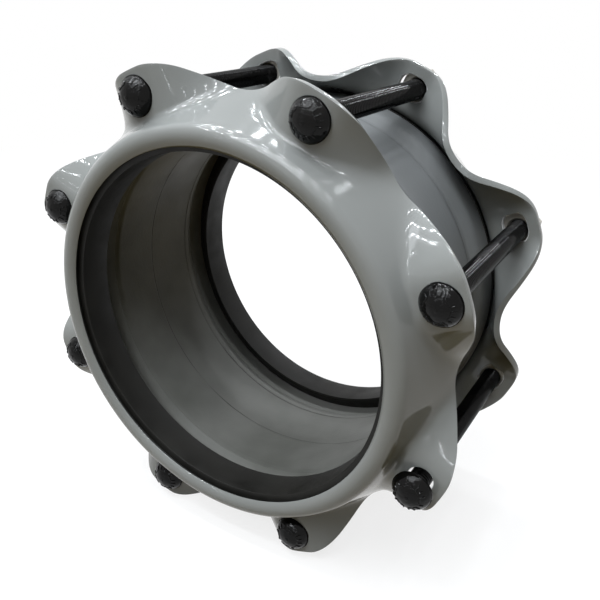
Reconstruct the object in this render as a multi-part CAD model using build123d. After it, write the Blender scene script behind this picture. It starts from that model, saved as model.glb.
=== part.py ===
from build123d import *
import math
import os

# Compression sleeve coupling for a 10 inch steel pipe. Millimetres.
# The pipe axis is Y and up is +Z. The bolt heads are at the -Y end and the nuts at the +Y end.
# The origin is on the pipe axis, halfway between the two ends.
# On each end ring, depths are measured from the crown of its nose towards the middle of the coupling.

# Pipe
pipe_d = 273.05
gasket_clearance = 0.5          # pipe to gasket bore, radial
lip_clearance = 4.1             # pipe to end ring lip, radial
sleeve_clearance = 7.5          # pipe to sleeve, radial

# Sleeve, a rolled ring whose two ends are belled out
sleeve_length = 155.0
sleeve_wall = 6.35
bell_rise = 6.0                 # how much the bell is wider than the ring, radial
bell_length = 21.5              # straight run of the bell
bell_slope = 38.0               # degrees between the slope and the axis
bell_bend = 9.0                 # bend radius at the middle of the wall
mouth_round = 1.5

# End ring, pressed from one plate
plate = 5.0
ear_plate = 4.8                 # the plate thins a little where the ears are drawn out
nose_bend = 4.5                 # inside radius of the rounded nose
lip_turn = 40.0                 # degrees from the lip to facing straight inwards
skirt_angle = 20.0              # half angle of the cone behind the nose
crown_reach = 24.8              # crown to the sleeve's end
seat_depth = 18.4               # crown to the outer face of an ear
scallop_depth = 52.0            # crown to the free edge between two ears
ear_tip = 18.3                  # bolt circle to the free edge of an ear
knee_run = 5.5                  # length of the bend between nose and ear at a bolt, each way
valley_run_in = 16.0            # the same bend between two ears, on the nose's side
valley_run_out = 9.0            # and towards the free edge
valley_inset = 11.0             # free edge to the line where the bend runs out, between two ears
ear_count = 8
seat_edge = 4.8                 # degrees either side of the bolt where the flat seat ends
wing_edge = 16.6                # degrees where the swept-back wing reaches the scallop
wing_blend_angle = 1.5
tip_edge = 6.0                  # degrees where the free edge starts to run inwards
notch_edge = 18.4
tip_blend_angle = 4.0
valley_start = 5.0
valley_end = 19.0
valley_blend_angle = 3.0

# Gaskets
heel_clearance = 0.3            # gasket to the inside of the nose and skirt
bell_clearance = 0.3            # gasket to the inside of the bell
gasket_face = 8.8               # crown to the outer face of the gasket
gasket_shoulder = 23.6          # crown to the shoulder that faces the sleeve's end
gasket_land = 3.2               # straight run inside the bell
toe_depth = 34.2                # crown to the inner end of the gasket
toe_wall = 3.5
gasket_round = 0.8

# Bolts, nuts and the slots that take them
bolt_reach = 43.475             # outside of the pipe to the bolt circle, radial
bolt_d = 15.875
bolt_length = 190.5             # under the head
head_d = 29.5
head_h = 10.5
dome_r = 16.2
head_round = 3.0
neck_length = 4.2
neck_clearance = 0.7            # neck to slot, each side
bolt_sag = 2.6                  # every bolt rests this far down its slot from the middle
slot_width = 19.0
slot_length = 25.0
bolt_tip = 1.5
nut_flats = 27.0
nut_h = 15.5
nut_bevel = 28.0                # degrees
seat_clearance = 0.05           # head and nut to the seats they bear on
thread_clearance = 0.06         # nut to bolt, radial
loose_bolt = 3                  # this bolt's head stands off its seat
loose_gap = 8.0

# Sizes that follow from those above
pipe_r = pipe_d / 2
gasket_bore_r = pipe_r + gasket_clearance
lip_r = pipe_r + lip_clearance
sleeve_r = pipe_r + sleeve_clearance
bell_r = sleeve_r + bell_rise
bolt_circle_r = pipe_r + bolt_reach
crown_y = sleeve_length / 2 + crown_reach
nose_mid = nose_bend + plate / 2
nose_outside = nose_bend + plate
nose_r = lip_r + nose_outside * math.cos(math.radians(lip_turn))
nose_depth = nose_outside
seat_mid = seat_depth + ear_plate / 2
valley_depth = scallop_depth - valley_inset
tip_r = bolt_circle_r + ear_tip
skirt_slope = math.tan(math.radians(skirt_angle))
shoulder_r = nose_r + nose_mid * math.cos(math.radians(skirt_angle))
shoulder_depth = nose_depth - nose_mid * math.sin(math.radians(skirt_angle))
pitch_angle = 360.0 / ear_count
first_bolt = pitch_angle / 2    # degrees from straight up, so that the coupling stands on two ears

joint_depth = 10.0              # crown to the start of the ears, inside the nose's wall
nose_end_depth = 12.0           # crown to the end of the nose's wall
section_angles = (0, 1.2, 2.4, 3.4, 4.6, 6, 8.5, 11.5, 14, 15.8, 17.4, 19.8, pitch_angle / 2)


# Shape of the pressed plate

def ramp(x, start, end, rounding):
    """Runs from 0 at start to 1 at end in a straight slope with rounded corners."""
    def corner(run):
        if run <= -rounding:
            return 0.0
        if run >= rounding:
            return run
        return (run + rounding) ** 2 / (4 * rounding)
    return (corner(x - start) - corner(x - end)) / (end - start)


def skirt_at(depth):
    """Radius of the middle of the plate on the skirt at a depth below the crown."""
    return shoulder_r + (depth - shoulder_depth) * skirt_slope


def free_edge(phi):
    """Radius and depth of the scalloped edge, phi degrees from a bolt."""
    sweep = ramp(abs(phi), seat_edge, wing_edge, wing_blend_angle)
    draw_in = ramp(abs(phi), tip_edge, notch_edge, tip_blend_angle)
    radius = tip_r + (skirt_at(scallop_depth) - tip_r) * draw_in
    depth = seat_mid + (scallop_depth - seat_mid) * sweep
    return radius, depth


def valley_share(phi):
    """Runs from 0 at a bolt to 1 between two ears."""
    return ramp(abs(phi), valley_start, valley_end, valley_blend_angle)


def valley(phi):
    """Radius and depth of the bend between the nose and the ear."""
    depth = seat_mid + (valley_depth - seat_mid) * valley_share(phi)
    return skirt_at(depth), depth


def between(a, b, share):
    return a[0] + (b[0] - a[0]) * share, a[1] + (b[1] - a[1]) * share


def along(a, b, run):
    return between(a, b, run / math.dist(a, b))


def in_space(flat, phi):
    """Takes a (radius, depth) pair into space, phi degrees round from the bolt."""
    turn = math.radians(phi)
    return Vector(flat[0] * math.cos(turn), flat[0] * math.sin(turn), flat[1])


def stations(phi):
    """Middle of the plate in one section: start of the ear piece, both ends of the knee, and the free edge."""
    joint = (skirt_at(joint_depth), joint_depth)
    knee = valley(phi)
    edge = free_edge(phi)
    run_in = knee_run + (valley_run_in - knee_run) * valley_share(phi)
    run_out = knee_run + (valley_run_out - knee_run) * valley_share(phi)
    return joint, along(knee, joint, run_in), along(knee, edge, run_out), edge


def directions(phi):
    """Which way the section runs at each station: down the skirt twice, then out along the ear twice."""
    joint, knee_in, knee_out, edge = stations(phi)
    skirt = in_space(knee_in, phi) - in_space(joint, phi)
    ear = in_space(edge, phi) - in_space(knee_out, phi)
    return skirt, skirt, ear, ear


def face_stations(phi, offset):
    """The stations moved on to one face of the plate, along the plate's true normal."""
    step = 0.01
    before = stations(phi - step)
    after = stations(phi + step)
    moved = []
    for i, (here, run) in enumerate(zip(stations(phi), directions(phi))):
        around = in_space(after[i], phi + step) - in_space(before[i], phi - step)
        moved.append(in_space(here, phi) + run.cross(around).normalized() * offset)
    return moved


def bend(start, start_run, end, end_run):
    """A round bend from one straight run of a section to the next."""
    turn = math.radians(start_run.get_angle(end_run))
    handle = (end - start).length / (3 * math.cos(turn / 4) ** 2)
    return Bezier(start, start + start_run.normalized() * handle, end - end_run.normalized() * handle, end)


def side_edges(phi, offset):
    """The edges of one face of the plate in one section: skirt, knee and ear."""
    joint, knee_in, knee_out, edge = face_stations(phi, offset)
    runs = directions(phi)
    return [Line(joint, knee_in), bend(knee_in, runs[1], knee_out, runs[2]), Line(knee_out, edge)]


def section_wire(phi):
    """Closed outline of the plate in one section, free edge included."""
    front = side_edges(phi, -ear_plate / 2)
    back = side_edges(phi, ear_plate / 2)
    start = Line(back[0] @ 0, front[0] @ 0)
    rim = Line(front[-1] @ 1, back[-1] @ 1)
    return Wire(front + [rim] + back + [start])


def ear_sector():
    """One ear and half of the scallop on each side, lofted through sections that crowd at the folds."""
    angles = sorted({side * phi for phi in section_angles for side in (-1, 1)})
    return Solid.make_loft([section_wire(phi) for phi in angles])


def is_cut(face):
    """True for the two flat end faces of a sector, which lie in radial planes."""
    middle = face.center()
    turn = math.radians(pitch_angle / 2)
    return abs(abs(middle.Y) - abs(middle.X) * math.tan(turn)) < 0.01


def ears():
    """The scalloped outer part of the ring, its eight sectors joined into one skin."""
    sector = ear_sector() - slot_cutter()
    skin = [face for face in sector.faces() if not is_cut(face)]
    return Solid(Shell([face.rotate(Axis.Z, pitch_angle * i) for i in range(ear_count) for face in skin]))


def nose():
    """The rounded inner part of the ring, from the lip to a short way down the skirt."""
    lip = 180 - lip_turn
    foot = (skirt_at(nose_end_depth), nose_end_depth)
    inside = nose_arc(nose_bend, lip)
    outside = nose_arc(nose_outside, lip)
    inside_foot = off_skirt(foot, -plate / 2)
    outside_foot = off_skirt(foot, plate / 2)
    outline = [
        inside,
        Line(inside @ 1, inside_foot),
        Line(inside_foot, outside_foot),
        Line(outside_foot, outside @ 1),
        outside,
        Line(outside @ 0, inside @ 0),
    ]
    return spin(make_face(outline))


def nose_arc(radius, lip):
    """Arc about the centre of the nose's bend, from the lip to the top of the skirt."""
    turns = [math.radians(t) for t in (lip, (lip + skirt_angle) / 2, skirt_angle)]
    return ThreePointArc(*[(nose_r + radius * math.cos(t), nose_depth - radius * math.sin(t)) for t in turns])


def off_skirt(flat, shift):
    """Moves a (radius, depth) pair square to the skirt, outwards for a positive shift."""
    turn = math.radians(skirt_angle)
    return flat[0] + shift * math.cos(turn), flat[1] - shift * math.sin(turn)


def slot_cutter():
    depth = seat_depth - plate
    outline = Pos(bolt_circle_r, 0, depth) * SlotOverall(slot_length, slot_width, rotation=90)
    return extrude(outline, 3 * plate)


def end_ring():
    """The pressed end ring: rounded nose, conical skirt, and ears with flat slotted seats."""
    return nose() + ears()


# Turned pieces

def spin(profile):
    """Turns a profile drawn with radius along X and the pipe axis along Z."""
    return revolve(Plane.XZ * profile, Axis.Z)


def wall_side(side):
    """One face of the sleeve's wall from mouth to mouth: side is 1 for the outside and -1 for the inside."""
    shift = side * sleeve_wall / 2
    narrow = sleeve_r + sleeve_wall / 2 + shift
    wide = narrow + bell_rise
    mouth = sleeve_length / 2
    corner_shift = shift * math.tan(math.radians(bell_slope / 2))
    top = mouth - bell_length - corner_shift
    foot = top - bell_rise / math.tan(math.radians(bell_slope))
    half = [(narrow, foot), (wide, top), (wide, mouth)]
    mirrored = [(r, -z) for r, z in reversed(half)]
    bends = [bell_bend + shift, bell_bend - shift, bell_bend - shift, bell_bend + shift]
    return FilletPolyline(mirrored + half, radius=bends)


def sleeve():
    """The middle ring: one rolled wall of even thickness with a bell at each end."""
    inside = wall_side(-1)
    outside = wall_side(1)
    ends = [Line(inside @ 0, outside @ 0), Line(inside @ 1, outside @ 1)]
    wall = make_face(inside.edges() + outside.edges() + ends)
    levels = wall.vertices().group_by(Axis.Y)
    return spin(fillet(levels[0] + levels[-1], mouth_round))


def inside_of_skirt(depth):
    return skirt_at(depth) - plate / 2 / math.cos(math.radians(skirt_angle))


def gasket():
    """Wedge gasket: its heel fills the nose of the end ring and its toe lies in the sleeve's bell."""
    heel = nose_bend - heel_clearance
    start = math.radians(180 - lip_turn)
    end = math.radians(skirt_angle)
    heel_in = (nose_r + heel * math.cos(start), nose_depth - heel * math.sin(start))
    heel_top = (nose_r, nose_depth - heel)
    heel_out = (nose_r + heel * math.cos(end), nose_depth - heel * math.sin(end))
    skirt_gap = heel_clearance / math.cos(end)
    shoulder = (inside_of_skirt(gasket_shoulder) - skirt_gap, gasket_shoulder)
    throat = (bell_r - bell_clearance, gasket_shoulder)
    land = (bell_r - bell_clearance, crown_reach + gasket_land)
    toe = (gasket_bore_r + toe_wall, toe_depth)
    outline = [
        Line((gasket_bore_r, gasket_face), (heel_in[0], gasket_face)),
        Line((heel_in[0], gasket_face), heel_in),
        ThreePointArc(heel_in, heel_top, heel_out),
        Polyline(heel_out, shoulder, throat, land, toe, (gasket_bore_r, toe_depth)),
        Line((gasket_bore_r, toe_depth), (gasket_bore_r, gasket_face)),
    ]
    section = make_face(outline)
    sharp = [shoulder, land, toe, (gasket_bore_r, toe_depth), (gasket_bore_r, gasket_face)]
    corners = [v for v in section.vertices() if min(math.dist((v.X, v.Y), p) for p in sharp) < 0.01]
    return spin(fillet(corners, gasket_round))


# Fasteners

def bolt():
    """Track bolt: domed head, oval neck that stops it turning, and a long threaded shank."""
    shank_r = bolt_d / 2
    head_r = head_d / 2
    rim = dome_r - head_h - math.sqrt(dome_r ** 2 - head_r ** 2)
    lean = math.asin(head_r / dome_r) / 2
    dome_middle = (dome_r * math.sin(lean), dome_r - head_h - dome_r * math.cos(lean))
    outline = Polyline(
        (0, -head_h),
        (0, bolt_length),
        (shank_r - bolt_tip, bolt_length),
        (shank_r, bolt_length - bolt_tip),
        (shank_r, 0),
        (head_r, 0),
        (head_r, rim),
    )
    dome = ThreePointArc((head_r, rim), dome_middle, (0, -head_h))
    section = make_face(outline.edges() + [dome])
    shoulder = section.vertices().sort_by_distance((head_r, rim))[0]
    neck_long = slot_length - 2 * (neck_clearance + bolt_sag)
    neck_wide = slot_width - 2 * neck_clearance
    neck = extrude(SlotOverall(neck_long, neck_wide, rotation=90), neck_length)
    return spin(fillet(shoulder, head_round)) + neck


def nut():
    """Hexagon nut with both faces bevelled and its bore opened at each end."""
    corner_r = nut_flats / 2 / math.cos(math.radians(30))
    bore_r = bolt_d / 2 + thread_clearance
    drop = (corner_r - nut_flats / 2) * math.tan(math.radians(nut_bevel))
    prism = extrude(RegularPolygon(nut_flats / 2, 6, major_radius=False), nut_h)
    cone = Polyline(
        (0, 0),
        (nut_flats / 2, 0),
        (corner_r, drop),
        (corner_r, nut_h - drop),
        (nut_flats / 2, nut_h),
        (0, nut_h),
        close=True,
    )
    bore = Polyline(
        (0, 0),
        (bore_r + bolt_tip, 0),
        (bore_r, bolt_tip),
        (bore_r, nut_h - bolt_tip),
        (bore_r + bolt_tip, nut_h),
        (0, nut_h),
        close=True,
    )
    return (prism & spin(make_face(cone))) - spin(make_face(bore))


# Placing the pieces

def end_plane(side):
    """Frame of an end ring: origin at its crown, X through bolt 1, Z towards the middle."""
    turn = math.radians(first_bolt)
    return Plane(origin=(0, side * crown_y, 0), x_dir=(math.sin(turn), 0, math.cos(turn)), z_dir=(0, -side, 0))


def bolt_plane(number, y):
    """Frame of a bolt, numbered clockwise from the top as seen from the heads, Z towards the nuts."""
    turn = math.radians(first_bolt + pitch_angle * (number - 1))
    out = Vector(math.sin(turn), 0, math.cos(turn))
    clockwise = Vector(math.cos(turn), 0, -math.sin(turn))
    low_end = clockwise * math.copysign(bolt_sag, out.X)
    return Plane(origin=out * bolt_circle_r + low_end + Vector(0, y, 0), x_dir=out, z_dir=(0, 1, 0))


def standoff(number):
    return loose_gap if number == loose_bolt else 0.0


ring = end_ring()
seal = gasket()
stud = bolt()
hexagon = nut()
bearing_y = crown_y - seat_depth + seat_clearance
along_y = Plane(origin=(0, 0, 0), x_dir=(0, 0, 1), z_dir=(0, 1, 0))

parts = {
    "middle_ring": along_y.location * sleeve(),
    "front_gasket": end_plane(-1).location * seal,
    "rear_gasket": end_plane(1).location * seal,
    "front_follower": end_plane(-1).location * ring,
    "rear_follower": end_plane(1).location * ring,
}
for number in range(1, ear_count + 1):
    parts[f"bolt_{number}"] = bolt_plane(number, -bearing_y - standoff(number)).location * stud
    parts[f"nut_{number}"] = bolt_plane(number, bearing_y).location * hexagon

os.makedirs("parts", exist_ok=True)
for name, shape in parts.items():
    export_step(shape, f"parts/{name}.step")
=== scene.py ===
import math

import bmesh
import bpy
from mathutils import Matrix, Vector


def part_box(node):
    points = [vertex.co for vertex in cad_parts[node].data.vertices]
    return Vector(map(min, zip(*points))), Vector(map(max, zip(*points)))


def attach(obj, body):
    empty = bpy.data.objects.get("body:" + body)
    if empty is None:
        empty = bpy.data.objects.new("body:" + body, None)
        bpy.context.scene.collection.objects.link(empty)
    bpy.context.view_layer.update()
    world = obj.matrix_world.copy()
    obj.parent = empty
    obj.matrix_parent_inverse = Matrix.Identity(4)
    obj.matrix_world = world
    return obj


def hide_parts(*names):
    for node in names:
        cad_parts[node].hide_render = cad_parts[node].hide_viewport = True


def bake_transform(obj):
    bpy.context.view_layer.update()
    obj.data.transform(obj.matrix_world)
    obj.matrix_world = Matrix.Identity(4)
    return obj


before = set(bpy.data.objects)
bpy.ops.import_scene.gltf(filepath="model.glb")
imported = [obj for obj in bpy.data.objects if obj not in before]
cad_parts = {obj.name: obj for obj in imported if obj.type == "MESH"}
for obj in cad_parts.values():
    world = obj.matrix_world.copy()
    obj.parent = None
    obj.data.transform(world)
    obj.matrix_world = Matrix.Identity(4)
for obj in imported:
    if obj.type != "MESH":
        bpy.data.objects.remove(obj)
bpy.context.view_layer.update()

# View
# The camera looks down on the near end of the coupling from the right and above, as in the photograph.
# Its place is in metres, and its place and directions are in the row frame.

camera_place = Vector((0.2858, -0.4478, 0.2432))
camera_right = Vector((0.8519, 0.5232, 0.0231))
camera_up = Vector((-0.2408, 0.3521, 0.9044))
camera_lens = 40.98
sensor_width = 36.0
nearest_view = 0.01


def add_object(name, data):
    holder = bpy.data.objects.new(name, data)
    bpy.context.scene.collection.objects.link(holder)
    return holder


camera_data = bpy.data.cameras.new("view")
camera_data.lens = camera_lens
camera_data.sensor_width = sensor_width
camera_data.clip_start = nearest_view
camera = add_object("view", camera_data)
turned = Matrix((camera_right, camera_up, camera_right.cross(camera_up))).transposed()
camera.matrix_world = Matrix.Translation(camera_place) @ turned.to_4x4()
bpy.context.scene.camera = camera

# Middle ring
# The sleeve that bridges the two pipe ends: steel plate rolled into a ring, welded and belled at both mouths.
# It has the end rings' gray paint, laid on thinner. Inside, a film of dust and the marks of the rolls show,
# and the dust's tones are spread wide to paint light and dark blotches of reflection.

MM = 0.001
sleeve_radius = 144.025         # inside the narrow middle
sleeve_wall = 6.35
sleeve_half = 77.5              # middle to mouth
bell_rise = 6.0
bell_foot = 48.3                # where the slope of the bell starts, from the middle
bell_top = 56.0
bell_round = 2.8
mouth_round = 1.4
sleeve_columns = 360

weld_reach = 0.01               # mesh points nearer than this become one
edge_steps = 3                  # in every rounded edge
plate_corner = 50               # degrees, a plate's edges sharper than this are rounded
smooth_limit = 38               # degrees, sharper edges show as edges


class Field:
    """A number that changes over a mesh. Arithmetic on it adds math nodes to its tree."""

    def __init__(self, socket):
        self.socket = socket

    def __add__(self, other):
        return compute("ADD", self, other)

    def __sub__(self, other):
        return compute("SUBTRACT", self, other)

    def __rsub__(self, other):
        return compute("SUBTRACT", other, self)

    def __mul__(self, other):
        return compute("MULTIPLY", self, other)

    def __truediv__(self, other):
        return compute("DIVIDE", self, other)

    __radd__ = __add__
    __rmul__ = __mul__


def feed(slot, value):
    """Wires a field into a node's input, or types a plain number there."""
    if isinstance(value, Field):
        slot.id_data.links.new(value.socket, slot)
    else:
        slot.default_value = value


def compute(operation, *values):
    """Adds one math node to the tree of whichever value is a field."""
    tree = next(v.socket.id_data for v in values if isinstance(v, Field))
    node = tree.nodes.new("ShaderNodeMath")
    node.operation = operation
    for slot, value in zip(node.inputs, values):
        feed(slot, value)
    return Field(node.outputs[0])


def limit(value, low, high):
    return compute("MINIMUM", compute("MAXIMUM", value, low), high)


def ramp(value, start, end, rounding):
    """Runs from 0 at start to 1 at end in a straight slope with rounded corners."""
    def corner(run):
        inside = limit(run + rounding, 0.0, rounding * 2)
        return inside * inside / (rounding * 4) + compute("MAXIMUM", run - rounding, 0.0)
    return (corner(value - start) - corner(value - end)) / (end - start)


def recipe(name, sizes):
    """A Geometry Nodes tree with one named input for each size. Returns the tree and the inputs as fields."""
    tree = bpy.data.node_groups.new(name, "GeometryNodeTree")
    tree.interface.new_socket("Shape", in_out="OUTPUT", socket_type="NodeSocketGeometry")
    for label, value in sizes.items():
        tree.interface.new_socket(label, in_out="INPUT", socket_type="NodeSocketFloat").default_value = value
    given = tree.nodes.new("NodeGroupInput")
    return tree, [Field(given.outputs[label]) for label in sizes]


def wrap_grid(tree, columns, rows, place):
    """A grid of cells in its final shape. place takes the column and the row and returns x, y and z in mm."""
    grid = tree.nodes.new("GeometryNodeMeshGrid")
    for label, cells in (("X", columns), ("Y", rows)):
        grid.inputs["Size " + label].default_value = cells
        grid.inputs["Vertices " + label].default_value = cells + 1
    split = tree.nodes.new("ShaderNodeSeparateXYZ")
    tree.links.new(tree.nodes.new("GeometryNodeInputPosition").outputs[0], split.inputs[0])
    column = Field(split.outputs["X"]) + columns / 2
    row = Field(split.outputs["Y"]) + rows / 2
    point = tree.nodes.new("ShaderNodeCombineXYZ")
    for slot, value in zip(point.inputs, place(column, row)):
        feed(slot, value * MM)
    shape = tree.nodes.new("GeometryNodeSetPosition")
    tree.links.new(grid.outputs["Mesh"], shape.inputs["Geometry"])
    tree.links.new(point.outputs[0], shape.inputs["Position"])
    weld = tree.nodes.new("GeometryNodeMergeByDistance")
    weld.inputs["Distance"].default_value = weld_reach * MM
    tree.links.new(shape.outputs[0], weld.inputs["Geometry"])
    return weld.outputs[0]


def around(angle, radius, along):
    """A point at an angle in degrees from straight up, clockwise as seen from the bolt heads."""
    turn = compute("RADIANS", angle)
    return radius * compute("SINE", turn), along, radius * compute("COSINE", turn)


def serve(tree, shape, material):
    """Ends a tree: real geometry, smooth, in one material."""
    last = shape
    for kind in ("GeometryNodeRealizeInstances", "GeometryNodeSetShadeSmooth", "GeometryNodeSetMaterial"):
        node = tree.nodes.new(kind)
        tree.links.new(last, node.inputs["Geometry"])
        last = node.outputs[0]
    node.inputs["Material"].default_value = material
    out = tree.nodes.new("NodeGroupOutput")
    tree.links.new(last, out.inputs["Shape"])


def round_edges(source, width, corner):
    """Rounds an object's edges where they are sharper than the corner, in degrees."""
    edge = source.modifiers.new("edge", "BEVEL")
    edge.width = width * MM
    edge.segments = edge_steps
    edge.limit_method = "ANGLE"
    edge.angle_limit = math.radians(corner)


def grow(name, tree, sizes=None, thickness=0.0, rounding=0.0):
    """Runs a tree on a new object and keeps the plain mesh. A sheet gets its thickness and rounded edges."""
    source = add_object(name + "_source", bpy.data.meshes.new(name + "_source"))
    nodes = source.modifiers.new("shape", "NODES")
    nodes.node_group = tree
    for item in tree.interface.items_tree:
        if sizes and item.name in sizes:
            nodes[item.identifier] = sizes[item.name]
    if thickness:
        sheet = source.modifiers.new("sheet", "SOLIDIFY")
        sheet.thickness = thickness * MM
        sheet.offset = 0.0
    if rounding:
        round_edges(source, rounding, plate_corner)
    return settle(source, name)


def settle(source, name):
    """Turns an object with modifiers into a plain mesh object, and removes the first."""
    graph = bpy.context.evaluated_depsgraph_get()
    mesh = bpy.data.meshes.new_from_object(source.evaluated_get(graph))
    mesh.name = name
    old = source.data
    bpy.data.objects.remove(source)
    bpy.data.meshes.remove(old)
    mesh.set_sharp_from_angle(angle=math.radians(smooth_limit))
    return add_object(name, mesh)


def shader(name):
    """An empty material. Returns it with its tree and its Principled shader."""
    material = bpy.data.materials.new(name)
    material.use_nodes = True
    tree = material.node_tree
    return material, tree, tree.nodes["Principled BSDF"]


def dress(bsdf, **values):
    """Types plain values into the sockets of a Principled shader."""
    for label, value in values.items():
        bsdf.inputs[label.replace("_", " ").title().replace("Ior", "IOR")].default_value = value


def noise(tree, scale, detail, stretch=(1, 1, 1)):
    """Noise on object coordinates. The scale is in features per metre."""
    place = tree.nodes.new("ShaderNodeMapping")
    place.inputs["Scale"].default_value = stretch
    tree.links.new(tree.nodes.new("ShaderNodeTexCoord").outputs["Object"], place.inputs["Vector"])
    node = tree.nodes.new("ShaderNodeTexNoise")
    feed(node.inputs["Scale"], scale)
    node.inputs["Detail"].default_value = detail
    tree.links.new(place.outputs[0], node.inputs["Vector"])
    return node.outputs["Fac"]


def remap(tree, value, low, high, to_low, to_high):
    """Stretches one span of values over another, and cuts off what lies outside it."""
    node = tree.nodes.new("ShaderNodeMapRange")
    for slot, number in zip(node.inputs[1:5], (low, high, to_low, to_high)):
        slot.default_value = number
    tree.links.new(value, node.inputs["Value"])
    return node.outputs["Result"]


def blend_colours(tree, share, first, second):
    """Mixes two colours. Each is a plain one, or comes from another node's output."""
    node = tree.nodes.new("ShaderNodeMix")
    node.data_type = "RGBA"
    tree.links.new(share, node.inputs[0])
    for slot, colour in zip(node.inputs[6:8], (first, second)):
        if isinstance(colour, tuple):
            slot.default_value = (*colour, 1)
        else:
            tree.links.new(colour, slot)
    return node.outputs[2]


def relief(tree, height, depth, under=None):
    """Turns a height into a normal. The depth is in mm."""
    node = tree.nodes.new("ShaderNodeBump")
    node.inputs["Strength"].default_value = 1.0
    feed(node.inputs["Distance"], depth * MM)
    tree.links.new(height, node.inputs["Height"])
    if under:
        tree.links.new(under, node.inputs["Normal"])
    return node.outputs["Normal"]


blotch_span = (0.3, 0.7)        # the span of the noise that runs from the darkest tone to the lightest
patch_span = (0.35, 0.7)        # and from the smoothest place to the dullest


def uneven_surface():
    """The group that every material here shares: blotches of tone, duller patches, waves under a grain."""
    group = bpy.data.node_groups.new("uneven surface", "ShaderNodeTree")
    for label in ("Tone Scale", "Gloss Scale", "Wave Scale", "Wave Depth", "Grain Scale", "Grain Depth"):
        group.interface.new_socket(label, in_out="INPUT", socket_type="NodeSocketFloat")
    for label, kind in (("Tone", "Float"), ("Gloss", "Float"), ("Normal", "Vector")):
        group.interface.new_socket(label, in_out="OUTPUT", socket_type="NodeSocket" + kind)
    sockets = group.nodes.new("NodeGroupInput").outputs
    given = {socket.name: Field(socket) for socket in sockets if socket.name}
    blotches = noise(group, given["Tone Scale"], detail=4)
    patches = noise(group, given["Gloss Scale"], detail=3)
    waves = relief(group, noise(group, given["Wave Scale"], detail=1), given["Wave Depth"])
    grain = relief(group, noise(group, given["Grain Scale"], detail=2), given["Grain Depth"], under=waves)
    out = group.nodes.new("NodeGroupOutput")
    group.links.new(remap(group, blotches, *blotch_span, 0, 1), out.inputs["Tone"])
    group.links.new(remap(group, patches, *patch_span, 0, 1), out.inputs["Gloss"])
    group.links.new(grain, out.inputs["Normal"])
    return group


uneven = uneven_surface()


def cover(tree, bsdf, dark, light, smooth, dull, **sizes):
    """Puts the shared group in a material, takes its colour, roughness and normal, and returns its node."""
    node = tree.nodes.new("ShaderNodeGroup")
    node.node_tree = uneven
    for label, value in sizes.items():
        node.inputs[label.replace("_", " ").title()].default_value = value
    tree.links.new(blend_colours(tree, node.outputs["Tone"], dark, light), bsdf.inputs["Base Color"])
    tree.links.new(remap(tree, node.outputs["Gloss"], 0, 1, smooth, dull), bsdf.inputs["Roughness"])
    tree.links.new(node.outputs["Normal"], bsdf.inputs["Normal"])
    return node


def object_place(tree):
    """The object coordinates x, y and z, in mm."""
    split = tree.nodes.new("ShaderNodeSeparateXYZ")
    tree.links.new(tree.nodes.new("ShaderNodeTexCoord").outputs["Object"], split.inputs[0])
    return [Field(output) / MM for output in split.outputs]


sleeve_paint, tree, bsdf = shader("sleeve_paint")
paint_film = cover(
    tree, bsdf, dark=(0.118, 0.124, 0.125), light=(0.163, 0.17, 0.173), smooth=0.3, dull=0.45,
    tone_scale=9, gloss_scale=22, wave_scale=30, wave_depth=0.25, grain_scale=420, grain_depth=0.1,
)
dress(bsdf, specular_ior_level=0.08)

# Inside the sleeve: dust tones, spread so wide that they also paint light and dark blotches of reflection.
dust_and_reflection_dark = (0.082, 0.084, 0.075)
dust_and_reflection_light = (0.2, 0.201, 0.188)
roll_marks = (                  # each one's place along the axis, half width, and height
    (-50.5, 0.7, 0.25),
    (-5.0, 0.6, -0.3),
    (42.5, 0.6, -0.35),
)
groove_dirt = (0.02, 0.018, 0.015)
wiped_scale = 14                # patches per metre where the dirt is nearly gone from a groove
wiped_span = (0.4, 0.6)
wiped_dirt = 0.2                # what is left of it there
streak_scale = 700
streak_stretch = (0.02, 1, 0.02)
streak_depth = 0.04

across, along, up = object_place(tree)
marks = 0.0
grooves = 0.0
for place, half_width, height in roll_marks:
    profile = limit(1 - compute("ABSOLUTE", along - place) / half_width, 0.0, 1.0)
    marks = profile * height + marks
    if height < 0:
        grooves = profile + grooves
bell = ramp(compute("ABSOLUTE", along), bell_foot, bell_top, bell_round)
middle_of_wall = sleeve_radius + sleeve_wall / 2 + bell_rise * bell
inside = compute("LESS_THAN", compute("SQRT", across * across + up * up), middle_of_wall)
outside_colour = bsdf.inputs["Base Color"].links[0].from_socket
# The inside colour: dust, with painted reflection blotches in its wide spread of tone.
dust_and_reflection_colour = blend_colours(tree, paint_film.outputs["Tone"], dust_and_reflection_dark, dust_and_reflection_light)
bare_colour = blend_colours(tree, inside.socket, outside_colour, dust_and_reflection_colour)
dirt = grooves * Field(remap(tree, noise(tree, wiped_scale, detail=1), *wiped_span, wiped_dirt, 1.0))
tree.links.new(blend_colours(tree, dirt.socket, bare_colour, groove_dirt), bsdf.inputs["Base Color"])
streaks = noise(tree, streak_scale, detail=2, stretch=streak_stretch)
streaked = relief(tree, streaks, streak_depth, under=paint_film.outputs["Normal"])
tree.links.new(relief(tree, marks.socket, depth=1.0, under=streaked), bsdf.inputs["Normal"])

tree, (radius, rise, foot, top, soft) = recipe("belled sleeve", {
    "Radius": sleeve_radius + sleeve_wall / 2,
    "Bell Rise": bell_rise,
    "Bell Foot": bell_foot,
    "Bell Top": bell_top,
    "Bell Round": bell_round,
})


def sleeve_point(column, row):
    from_middle = row - sleeve_half
    belled = radius + rise * ramp(compute("ABSOLUTE", from_middle), foot, top, soft)
    return around(column * (360 / sleeve_columns), belled, from_middle)


serve(tree, wrap_grid(tree, sleeve_columns, int(2 * sleeve_half), sleeve_point), sleeve_paint)
sleeve = grow("sleeve_wall", tree, thickness=sleeve_wall, rounding=mouth_round)
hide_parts("middle_ring")
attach(sleeve, "sleeve")

# Gaskets
# Two black rubber rings of wedge section, each moulded in one piece. The heel fills the nose of an end ring
# and the toe lies inside the bell, so that closing the coupling wedges the rubber onto the pipe.

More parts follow.
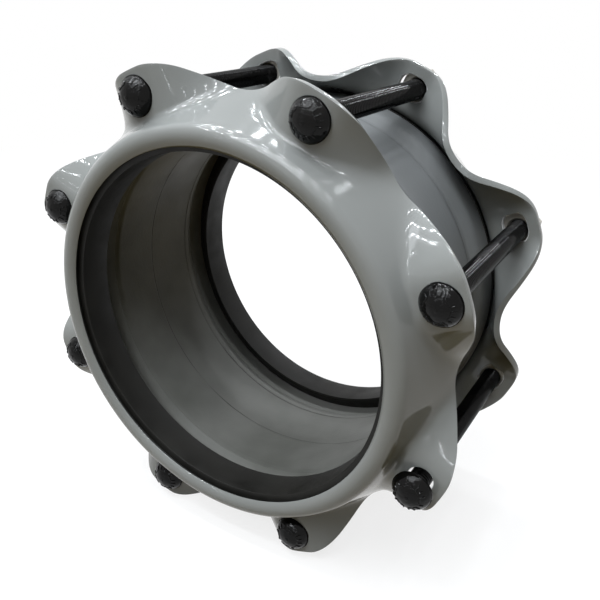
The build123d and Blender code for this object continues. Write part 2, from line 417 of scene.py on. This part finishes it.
crown = -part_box("front_follower")[0].y / MM      # middle of the coupling to the crown of a nose
pipe_clear_radius = 137.025
nose_centre_radius = 147.9      # centre of the bend that the nose is pressed to
nose_centre_depth = 9.5
lip_angle = 140                 # degrees from straight outwards to the lip, where that bend starts
skirt_angle = 20                # and to the skirt, where it ends
heel_radius = 4.2
heel_step = 10                  # degrees
gasket_depths = {"face": 7.6, "shoulder": 23.6, "land": 28.0, "toe": 34.2}
heel_end = 11.0                 # down to here the rubber follows the end ring, past the shoulder the sleeve
toe_wall = 3.5
bell_gap = 0.3
shoulder_radius = 156.62
gasket_round = 0.8
gasket_corner = 25              # degrees, its edges sharper than this are rounded
gasket_columns = 256

rubber, tree, bsdf = shader("gasket_rubber")
cover(
    tree, bsdf, dark=(0.004, 0.0038, 0.0032), light=(0.011, 0.0106, 0.0092), smooth=0.45, dull=0.62,
    tone_scale=30, gloss_scale=60, wave_scale=25, wave_depth=0.3, grain_scale=1500, grain_depth=0.05,
)
dress(bsdf, specular_ior_level=0.18)


def gasket_outline(side):
    """Section of a gasket at one end as (radius, y) points, depths counted from the crown of its end ring."""
    def at(r, depth):
        return r, side * (crown - depth)
    heel = []
    for degrees in range(lip_angle, skirt_angle - 1, -heel_step):
        turn = math.radians(degrees)
        heel.append(at(nose_centre_radius + heel_radius * math.cos(turn),
                       nose_centre_depth - heel_radius * math.sin(turn)))
    rim_radius = sleeve_radius + bell_rise - bell_gap
    return [
        at(pipe_clear_radius, gasket_depths["face"]),
        at(heel[0][0], gasket_depths["face"]),
        *heel,
        at(shoulder_radius, gasket_depths["shoulder"]),
        at(rim_radius, gasket_depths["shoulder"]),
        at(rim_radius, gasket_depths["land"]),
        at(pipe_clear_radius + toe_wall, gasket_depths["toe"]),
        at(pipe_clear_radius, gasket_depths["toe"]),
    ]


def gasket_ring(name, outline):
    """Turns a gasket's section round the pipe axis and rounds its corners."""
    shape = bmesh.new()
    loops = []
    for step in range(gasket_columns):
        turn = math.tau * step / gasket_columns
        sine = math.sin(turn)
        cosine = math.cos(turn)
        loops.append([shape.verts.new((r * MM * sine, y * MM, r * MM * cosine)) for r, y in outline])
    for here, there in zip(loops, loops[1:] + loops[:1]):
        for i in range(len(outline)):
            j = (i + 1) % len(outline)
            shape.faces.new((here[i], here[j], there[j], there[i])).smooth = True
    bmesh.ops.recalc_face_normals(shape, faces=shape.faces)
    mesh = bpy.data.meshes.new(name + "_source")
    shape.to_mesh(mesh)
    shape.free()
    mesh.materials.append(rubber)
    source = add_object(name + "_source", mesh)
    round_edges(source, gasket_round, gasket_corner)
    return settle(source, name)


for side, end in ((-1, "front"), (1, "rear")):
    seal = gasket_ring(end + "_seal", gasket_outline(side))
    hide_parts(end + "_gasket")
    squeezed = [(0, side * (crown - depth) * MM, 0) for depth in (heel_end, gasket_depths["shoulder"])]
    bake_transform(seal)

# End rings
# Each is pressed from one steel plate: a rounded nose that holds the gasket, a conical skirt, and eight ears
# that fold out flat for the bolts. Between the ears the plate sweeps back to a scalloped edge.
# The gray paint is thick and glossy.

plate = 4.8
nose_radius = 7.0               # bend of the nose at the middle of the plate
seat_depth = 20.8               # crown to the middle of the plate at an ear
valley_depth = 41.0             # crown to the fold between two ears
scallop_depth = 52.0
tip_radius = 198.3
knee_run = 5.5                  # length of the bend between nose and ear at a bolt, each way
valley_run_in = 16.0            # the same bend between two ears, on the nose's side
valley_run_out = 9.0            # and towards the free edge
valley_fade = (5.0, 19.0, 3.0)  # degrees from the bolt where the valley starts and ends, and the blend
tip_fade = (6.0, 18.4, 4.0)     # the same for the free edge running inwards
wing_fade = (4.8, 16.6, 2.4)    # and for the ear sweeping back
plate_edge = 1.1
ear_count = 8
ear_pitch = 360 / ear_count
ear_columns = 84
nose_rows = 20
skirt_rows = 3
knee_rows = 12
ear_rows = 14

bolt_circle_radius = 180.0
slot_width = 19.0
slot_length = 25.0
slot_bevel = 0.5
slot_end_steps = 16

paint, tree, bsdf = shader("painted_steel")
cover(
    tree, bsdf, dark=(0.184, 0.192, 0.186), light=(0.214, 0.222, 0.216), smooth=0.07, dull=0.13,
    tone_scale=7, gloss_scale=18, wave_scale=38, wave_depth=0.22, grain_scale=240, grain_depth=0.02,
)
dress(bsdf, specular_ior_level=0.3)

tree, ring_sizes = recipe("pressed end ring", {
    "Side": -1.0,
    "Nose Bend": nose_radius,
    "Seat Depth": seat_depth,
    "Valley Depth": valley_depth,
    "Scallop Depth": scallop_depth,
    "Tip Radius": tip_radius,
    "Knee Run": knee_run,
    "Valley Run In": valley_run_in,
    "Valley Run Out": valley_run_out,
})
side, nose_bend, seat, valley, scallop, tip, run, deep_run_in, deep_run_out = ring_sizes
skirt_turn = math.radians(skirt_angle)


def nose_foot():
    """Radius and depth of the middle of the plate where the nose's bend meets the skirt."""
    return (nose_centre_radius + nose_bend * math.cos(skirt_turn),
            nose_centre_depth - nose_bend * math.sin(skirt_turn))


def skirt_at(depth):
    """Radius of the middle of the plate on the skirt, at a depth below the crown."""
    radius, start = nose_foot()
    return radius + (depth - start) * math.tan(skirt_turn)


def distance(a, b):
    outwards = a[0] - b[0]
    down = a[1] - b[1]
    return compute("SQRT", outwards * outwards + down * down)


def share_of(row, start, count):
    return limit((row - start) / count, 0.0, 1.0)


def bend(share, handle, start, start_run, end, end_run):
    """How far a round bend has come from its start, in radius or in depth, at a share of its rows."""
    left = 1.0 - share
    lift = handle * start_run
    drop = handle * end_run
    early = share * left * left * 3 * lift
    late = share * share * left * 3 * ((end - start) - drop)
    return early + late + share * share * share * (end - start)


def ring_point(column, row):
    """The middle of the plate: nose, skirt, knee and ear one after another, each pushed on from the last."""
    degrees = column * (ear_pitch / ear_columns)
    from_bolt = compute("ABSOLUTE", compute("WRAP", degrees, ear_pitch, 0.0) - ear_pitch / 2)
    deep = ramp(from_bolt, *valley_fade)
    fold = seat + (valley - seat) * deep
    corner = (skirt_at(fold), fold)
    edge = (tip + (skirt_at(scallop) - tip) * ramp(from_bolt, *tip_fade),
            seat + (scallop - seat) * ramp(from_bolt, *wing_fade))
    run_in = run + (deep_run_in - run) * deep
    run_out = run + (deep_run_out - run) * deep
    down = (math.sin(skirt_turn), math.cos(skirt_turn))
    reach = distance(corner, edge)
    out = tuple((e - c) / reach for c, e in zip(corner, edge))
    knee_in = tuple(c - run_in * d for c, d in zip(corner, down))
    knee_out = tuple(c + run_out * d for c, d in zip(corner, out))
    half_turn = compute("SQRT", (out[0] * down[0] + out[1] * down[1] + 1) / 2)
    handle = distance(knee_in, knee_out) * 2 / ((half_turn + 1) * 3)

    turn = compute("RADIANS", lip_angle + (skirt_angle - lip_angle) * share_of(row, 0, nose_rows))
    nose = (nose_centre_radius + nose_bend * compute("COSINE", turn),
            nose_centre_depth - nose_bend * compute("SINE", turn))
    along_skirt = share_of(row, nose_rows, skirt_rows)
    round_knee = share_of(row, nose_rows + skirt_rows, knee_rows)
    along_ear = share_of(row, nose_rows + skirt_rows + knee_rows, ear_rows)
    place = []
    for n, foot, start, d, end, o, rim in zip(nose, nose_foot(), knee_in, down, knee_out, out, edge):
        bent = bend(round_knee, handle, start, d, end, o)
        place.append(n + (start - foot) * along_skirt + bent + (rim - end) * along_ear)
    return around(degrees, place[0], side * (crown - place[1]))


ring_rows = nose_rows + skirt_rows + knee_rows + ear_rows
serve(tree, wrap_grid(tree, ear_count * ear_columns, ring_rows, ring_point), paint)


def bolt_angle(number):
    """Degrees from straight up, clockwise as seen from the heads. Bolt 1 is half a pitch from the top."""
    return ear_pitch * (number - 0.5)


def at_bolt(number, y, clockwise=0.0):
    """Takes a piece drawn on the Y axis, its outward side on Z, to its bolt or a little clockwise of it."""
    turned = Matrix.Rotation(math.radians(bolt_angle(number)), 4, "Y")
    return turned @ Matrix.Translation((clockwise * MM, y * MM, bolt_circle_radius * MM))


def slot_outline(length, width):
    """A slot with round ends in the XZ plane, long way on X, in mm."""
    half = (length - width) / 2
    points = []
    for end in (1, -1):
        for step in range(slot_end_steps + 1):
            turn = math.pi * step / slot_end_steps
            points.append((end * (half + width / 2 * math.sin(turn)), end * width / 2 * math.cos(turn)))
    return points


def stacked(outlines, levels):
    """Joins equal outlines at successive levels on Y into one closed shape."""
    shape = bmesh.new()
    loops = []
    for outline, y in zip(outlines, levels):
        loops.append([shape.verts.new((x * MM, y * MM, z * MM)) for x, z in outline])
    for here, there in zip(loops, loops[1:]):
        for i in range(len(here)):
            j = (i + 1) % len(here)
            shape.faces.new((here[i], here[j], there[j], there[i]))
    shape.faces.new(loops[0])
    shape.faces.new(loops[-1])
    bmesh.ops.recalc_face_normals(shape, faces=shape.faces)
    return shape


def slot_tools(name, side):
    """Eight cutters, flared at both faces of the plate so that every slot has a broken edge."""
    seat_y = side * (crown - seat_depth)
    half = plate / 2
    wide = slot_outline(slot_length + 2 * slot_bevel, slot_width + 2 * slot_bevel)
    wider = slot_outline(slot_length + 4 * slot_bevel, slot_width + 4 * slot_bevel)
    tight = slot_outline(slot_length, slot_width)
    levels = (-half - slot_bevel, -half, -half + slot_bevel, half - slot_bevel, half, half + slot_bevel)
    one = stacked((wider, wide, tight, tight, wide, wider), levels)
    cutter = bpy.data.meshes.new(name)
    one.to_mesh(cutter)
    one.free()
    tools = bmesh.new()
    for number in range(1, ear_count + 1):
        copy = cutter.copy()
        copy.transform(at_bolt(number, seat_y))
        tools.from_mesh(copy)
    tools.to_mesh(cutter)
    tools.free()
    return add_object(name, cutter)


for sign, end in ((-1, "front"), (1, "rear")):
    ring = grow(end + "_ring", tree, {"Side": float(sign)}, thickness=plate, rounding=plate_edge)
    tools = slot_tools(end + "_slots", sign)
    cut = ring.modifiers.new("slots", "BOOLEAN")
    cut.object = tools
    cut.solver = "EXACT"
    ring = settle(ring, end + "_end_ring")
    bpy.data.objects.remove(tools)
    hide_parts(end + "_follower")
    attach(ring, end + "_follower")

# Bolts
# Eight long track bolts, forged and oiled black. The domed head stands on an oval neck that fits the slot and
# keeps it from turning, and the shank is threaded all along. The raised marks on the head are plain.

bolt_radius = 15.875 / 2
bolt_length = 190.49            # under the head
thread_pitch = 25.4 / 11
thread_depth = 0.9
thread_columns = 28
thread_rows = 4                 # in each turn: root, flank, crest, flank
root_share = 0.2                # of the pitch
flank_share = 0.25              # the first flank, and the second takes what is left
crest_share = 0.35
row_nudge = 0.01                # keeps a row's number from rounding down to the row before
spare_turns = 3                 # climbing rows start before the shank and end past it

head_radius = 14.75
head_height = 10.0              # to the top of the dome, under the raised dot
head_bevel = 0.5
head_columns = 48
dome_radius = 16.2
dome_steps = 14
dome_share = 0.93               # of the way to the side of the head, where the dome gives way to a round rim
rim_points = ((0.25, 1.1), (0.0, 2.6))     # in from the side, and below the dome's end
mark_places = 18                # round the head
bar_lean = 40                   # degrees from the top of the dome
bar_size = (1.3, 4.6, 1.5)      # up the dome, round it, and through the whole bead, which is half sunk
bar_gap = 6                     # one place in this many has no bar
tick_lean = 33
tick_size = (3.4, 1.2, 1.2)
tick_gap = 3
dot_size = (3.2, 3.2, 0.8)
bead_columns = 10
bead_rows = 6

neck_length = 4.2
neck_gap = 0.7                  # to the slot, each side
neck_bevel = 0.5
neck_sink = 0.2                 # into the head
neck_overlap = 1.0              # the thread starts this far inside the neck
seat_gap = 0.05                 # head to ear
bolt_sag = 2.6                  # every bolt rests this far down its slot from the middle
loose_bolt = 3                  # this bolt's head stands off its seat
loose_gap = 8.0
bolt_smooth_limit = 30          # degrees

seat_y = crown - (seat_depth - plate / 2) + seat_gap

lump_scale = 330
lump_depth = 0.35
shank_gloss = 0.07
head_gloss = 0.14

black_steel, tree, bsdf = shader("bolt_steel")
film = cover(
    tree, bsdf, dark=(0.001, 0.001, 0.0011), light=(0.003, 0.0028, 0.0026), smooth=0.06, dull=0.1,
    tone_scale=60, gloss_scale=200, wave_scale=200, wave_depth=0.03, grain_scale=900, grain_depth=0.01,
)
split = tree.nodes.new("ShaderNodeSeparateXYZ")
tree.links.new(tree.nodes.new("ShaderNodeTexCoord").outputs["Object"], split.inputs[0])
on_head = compute("LESS_THAN", Field(split.outputs["Y"]) / MM, -seat_y)
lumps = relief(tree, noise(tree, lump_scale, detail=1), on_head * lump_depth, under=film.outputs["Normal"])
tree.links.new(lumps, bsdf.inputs["Normal"])
feed(bsdf.inputs["Specular IOR Level"], on_head * (head_gloss - shank_gloss) + shank_gloss)

tree, (length, pitch, depth, shank) = recipe("bolt thread", {
    "Length": bolt_length - neck_length + neck_overlap,
    "Pitch": thread_pitch,
    "Depth": thread_depth,
    "Radius": bolt_radius,
})


def thread_point(column, row):
    """A point of the thread. The rows climb one pitch in each turn, so that they run along the flanks."""
    part = compute("FLOORED_MODULO", row + row_nudge, float(thread_rows)) - row_nudge
    whole = compute("FLOOR", (row + row_nudge) / thread_rows)
    root_run = limit(part, 0.0, 1.0) * root_share
    flank_run = limit(part - 1, 0.0, 1.0) * flank_share
    crest_run = limit(part - 2, 0.0, 1.0) * crest_share
    climbed = whole + (root_run + flank_run + crest_run) + column / thread_columns - 1
    along = limit(climbed * pitch, 0.0, length)
    crest = compute("GREATER_THAN", part, 1.5) * depth      # the third and fourth rows of a turn
    root = shank - depth
    radius = root + compute("MINIMUM", compute("MINIMUM", crest, length - along), along)
    turn = column * (math.tau / thread_columns)
    return radius * compute("SINE", turn), along, radius * compute("COSINE", turn)


thread_turns = int(bolt_length / thread_pitch) + spare_turns
serve(tree, wrap_grid(tree, thread_columns, thread_turns * thread_rows, thread_point), black_steel)
thread = grow("thread", tree)


def turned_solid(outline, columns):
    """Turns an outline of (radius, y) points, from axis to axis, into a closed solid on the Y axis."""
    shape = bmesh.new()
    first = shape.verts.new((0, outline[0][1] * MM, 0))
    last = shape.verts.new((0, outline[-1][1] * MM, 0))
    turns = [math.tau * i / columns for i in range(columns)]
    loops = []
    for r, y in outline[1:-1]:
        points = [(r * MM * math.sin(turn), y * MM, r * MM * math.cos(turn)) for turn in turns]
        loops.append([shape.verts.new(point) for point in points])
    for i in range(columns):
        j = (i + 1) % columns
        shape.faces.new((first, loops[0][i], loops[0][j]))
        shape.faces.new((last, loops[-1][j], loops[-1][i]))
        for here, there in zip(loops, loops[1:]):
            shape.faces.new((here[i], here[j], there[j], there[i]))
    bmesh.ops.recalc_face_normals(shape, faces=shape.faces)
    return shape


def head_outline():
    """Half section of the domed head, from the top of the dome round the rim to its underside."""
    side_angle = math.asin(head_radius / dome_radius)
    points = []
    for i in range(dome_steps + 1):
        turn = side_angle * dome_share * i / dome_steps
        fall = dome_radius * math.cos(turn)
        points.append((dome_radius * math.sin(turn), dome_radius - head_height - fall))
    dome_end = points[-1][1]
    points += [(head_radius - inset, dome_end + drop) for inset, drop in rim_points]
    return points + [(head_radius, -head_bevel), (head_radius - head_bevel, 0.0), (0.0, 0.0)]


def on_dome(shape, lean, turn, size):
    """Adds one raised bead to the dome: tipped from its top by some degrees, then turned round it."""
    made = bmesh.ops.create_uvsphere(shape, u_segments=bead_columns, v_segments=bead_rows, radius=0.5)
    bead = made["verts"]
    up_dome, round_dome, through = size
    bmesh.ops.scale(shape, verts=bead, vec=(up_dome * MM, through * MM, round_dome * MM))
    bmesh.ops.translate(shape, verts=bead, vec=(0, -dome_radius * MM, 0))
    leaned = Matrix.Rotation(-math.radians(lean), 3, "X")
    bmesh.ops.rotate(shape, verts=bead, cent=(0, 0, 0), matrix=leaned)
    bmesh.ops.rotate(shape, verts=bead, cent=(0, 0, 0), matrix=Matrix.Rotation(turn, 3, "Y"))
    bmesh.ops.translate(shape, verts=bead, vec=(0, (dome_radius - head_height) * MM, 0))


def marked_head():
    """The domed head with its raised bars, ticks and dot."""
    shape = turned_solid(head_outline(), head_columns)
    for i in range(mark_places):
        if (i + 1) % bar_gap:
            on_dome(shape, bar_lean, math.tau * i / mark_places, bar_size)
        if i % tick_gap:
            on_dome(shape, tick_lean, math.tau * (i + 0.5) / mark_places, tick_size)
    on_dome(shape, 0, 0.0, dot_size)
    return shape


def oval_neck():
    """The neck, shorter than the slot so that the bolt can sag in it, and bevelled at its end."""
    long = slot_length - 2 * (neck_gap + bolt_sag)
    wide = slot_width - 2 * neck_gap
    full = slot_outline(long, wide)
    bevelled = slot_outline(long - 2 * neck_bevel, wide - 2 * neck_bevel)
    return stacked((full, full, bevelled), (-neck_sink, neck_length - neck_bevel, neck_length))


def bolt_mesh():
    """One whole bolt on the Y axis: the underside of its head at the origin and its tip towards +Y."""
    shape = bmesh.new()
    thread.data.transform(Matrix.Translation((0, (neck_length - neck_overlap) * MM, 0)))
    shape.from_mesh(thread.data)
    bmesh.ops.holes_fill(shape, edges=[e for e in shape.edges if e.is_boundary])
    for part in (marked_head(), oval_neck()):
        part.normal_update()
        holder = bpy.data.meshes.new("bolt_part")
        part.to_mesh(holder)
        part.free()
        shape.from_mesh(holder)
        bpy.data.meshes.remove(holder)
    mesh = bpy.data.meshes.new("bolt")
    shape.to_mesh(mesh)
    shape.free()
    mesh.materials.append(black_steel)
    mesh.polygons.foreach_set("use_smooth", [True] * len(mesh.polygons))
    mesh.set_sharp_from_angle(angle=math.radians(bolt_smooth_limit))
    return mesh


whole_bolt = bolt_mesh()
bpy.data.objects.remove(thread)
for number in range(1, ear_count + 1):
    mesh = whole_bolt.copy()
    standoff = loose_gap if number == loose_bolt else 0.0
    low_end = math.copysign(bolt_sag, math.sin(math.radians(bolt_angle(number))))
    mesh.transform(at_bolt(number, -seat_y - standoff, low_end))
    piece = add_object(f"track_bolt_{number}", mesh)
    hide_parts(f"bolt_{number}")
    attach(piece, "front_follower")

# Nuts
# Plain hexagon nuts, forged in pale steel, bevelled on both faces and left bare. One turns on each bolt
# behind the rear end ring. Their shape is the solid model's own.

nut_steel, tree, bsdf = shader("nut_steel")
cover(
    tree, bsdf, dark=(0.3, 0.28, 0.24), light=(0.45, 0.43, 0.385), smooth=0.35, dull=0.55,
    tone_scale=120, gloss_scale=260, wave_scale=100, wave_depth=0.1, grain_scale=900, grain_depth=0.06,
)
dress(bsdf, metallic=0.35, specular_ior_level=0.3)
for number in range(1, ear_count + 1):
    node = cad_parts[f"nut_{number}"]
    node.data.materials.clear()
    node.data.materials.append(nut_steel)

# Studio
# A plain pale floor under small soft lamps, near ones overhead and far ones in rows, as in a works hall.
# The camera, mirrors and glass see floor and sky as white, and the floor keeps the coupling's shadow.

floor_size = 80.0
floor_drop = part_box("front_follower")[0].z
floor_colour = (0.15, 0.11, 0.04)           # as the object is lit by it
floor_seen = (0.95, 0.95, 0.95)
shadow_reach = (0.45, 1.5)      # the shadow is kept inside the first distance and gone at the second
plain_white = 0.8               # its share in what is seen of the floor inside the first distance
sky_colour = (1.0, 0.92, 0.82)
sky_strength = 0.035

lamp_colour = (0.92, 0.96, 1.0)
ceiling_height = 2.4
ceiling_rows = 4
ceiling_columns = 9
ceiling_steps = (0.38, 0.7)
ceiling_corner = (-1.85, -1.2)
ceiling_power = 5.6
ceiling_fade = 0.35             # each column further right is this much weaker
hall_rows = (-2.4, -4.0, -6.4, -9.6)
hall_columns = 4
hall_middle = 1.9               # the column that lies straight ahead, counted from 0
hall_spread = 0.35              # between columns, as a share of how far off a row is
hall_power = 7.0
panel_columns = 3
panel_step = 1.1
panel_y = 5.1
panel_power = 28.0


def seen_rays(tree):
    """1 for the rays that show the background: from the camera, off a mirror or through glass."""
    path = tree.nodes.new("ShaderNodeLightPath")
    rays = [Field(path.outputs[label]) for label in ("Is Camera Ray", "Is Glossy Ray", "Is Transmission Ray")]
    return compute("MAXIMUM", compute("MAXIMUM", rays[0], rays[1]), rays[2])


def mix_shaders(tree, share, first, second, target):
    mix = tree.nodes.new("ShaderNodeMixShader")
    tree.links.new(share.socket, mix.inputs[0])
    tree.links.new(first, mix.inputs[1])
    tree.links.new(second, mix.inputs[2])
    tree.links.new(mix.outputs[0], target.inputs["Surface"])


floor_paint, tree, bsdf = shader("floor_paint")
seen = seen_rays(tree)
tree.links.new(blend_colours(tree, seen.socket, floor_colour, floor_seen), bsdf.inputs["Base Color"])
dress(bsdf, roughness=0.9, specular_ior_level=0.0)
reach = tree.nodes.new("ShaderNodeVectorMath")
reach.operation = "LENGTH"
tree.links.new(tree.nodes.new("ShaderNodeTexCoord").outputs["Object"], reach.inputs[0])
white_share = seen * Field(remap(tree, reach.outputs["Value"], *shadow_reach, plain_white, 1.0))
glow = tree.nodes.new("ShaderNodeEmission")
mix_shaders(tree, white_share, bsdf.outputs[0], glow.outputs[0], tree.nodes["Material Output"])

floor_mesh = bpy.data.meshes.new("floor")
half = floor_size / 2
corners = [(x, y, floor_drop) for x, y in ((-half, -half), (half, -half), (half, half), (-half, half))]
floor_mesh.from_pydata(corners, [], [(0, 1, 2, 3)])
floor_mesh.materials.append(floor_paint)
floor = add_object("floor", floor_mesh)

world = bpy.data.worlds.new("sky")
bpy.context.scene.world = world
world.use_nodes = True
tree = world.node_tree
sky = tree.nodes["Background"]
sky.inputs["Color"].default_value = (*sky_colour, 1)
sky.inputs["Strength"].default_value = sky_strength
white = tree.nodes.new("ShaderNodeBackground")
white.inputs["Color"].default_value = (1, 1, 1, 1)
mix_shaders(tree, seen_rays(tree), sky.outputs[0], white.outputs[0], tree.nodes["World Output"])


def lamp(name, place, target, width, length, power):
    """A soft rectangular lamp aimed at a point."""
    data = bpy.data.lights.new(name, "AREA")
    data.shape = "RECTANGLE"
    data.size = width
    data.size_y = length
    data.energy = power
    data.color = lamp_colour
    holder = add_object(name, data)
    aim = Vector(target) - Vector(place)
    holder.matrix_world = Matrix.Translation(place) @ aim.to_track_quat("-Z", "Y").to_matrix().to_4x4()


def overhead(name, x, y, width, length, power):
    """A lamp on the ceiling, shining straight down."""
    lamp(name, (x, y, ceiling_height), (x, y, 0), width, length, power)


lamp("key", (-0.3, -1.2, 2.2), (0, 0, 0), width=1.4, length=1.4, power=36)
lamp("left", (-1.6, -0.2, 1.7), (0, 0, 0), width=1.2, length=1.2, power=4)
for row in range(ceiling_rows):
    for column in range(ceiling_columns):
        x = ceiling_steps[0] * column + ceiling_corner[0]
        y = ceiling_steps[1] * row + ceiling_corner[1]
        power = ceiling_power - ceiling_fade * column
        overhead(f"ceiling_{row}_{column}", x, y, width=0.12, length=0.04, power=power)
for row, y in enumerate(hall_rows):
    for column in range(hall_columns):
        x = hall_spread * y * (hall_middle - column)
        overhead(f"hall_{row}_{column}", x, y, width=0.7, length=0.04, power=hall_power)
for column in range(panel_columns):
    x = panel_step * (column - 1)
    overhead(f"panel_{column}", x, panel_y, width=0.08, length=1.4, power=panel_power)

bpy.context.scene.view_settings.view_transform = "Standard"
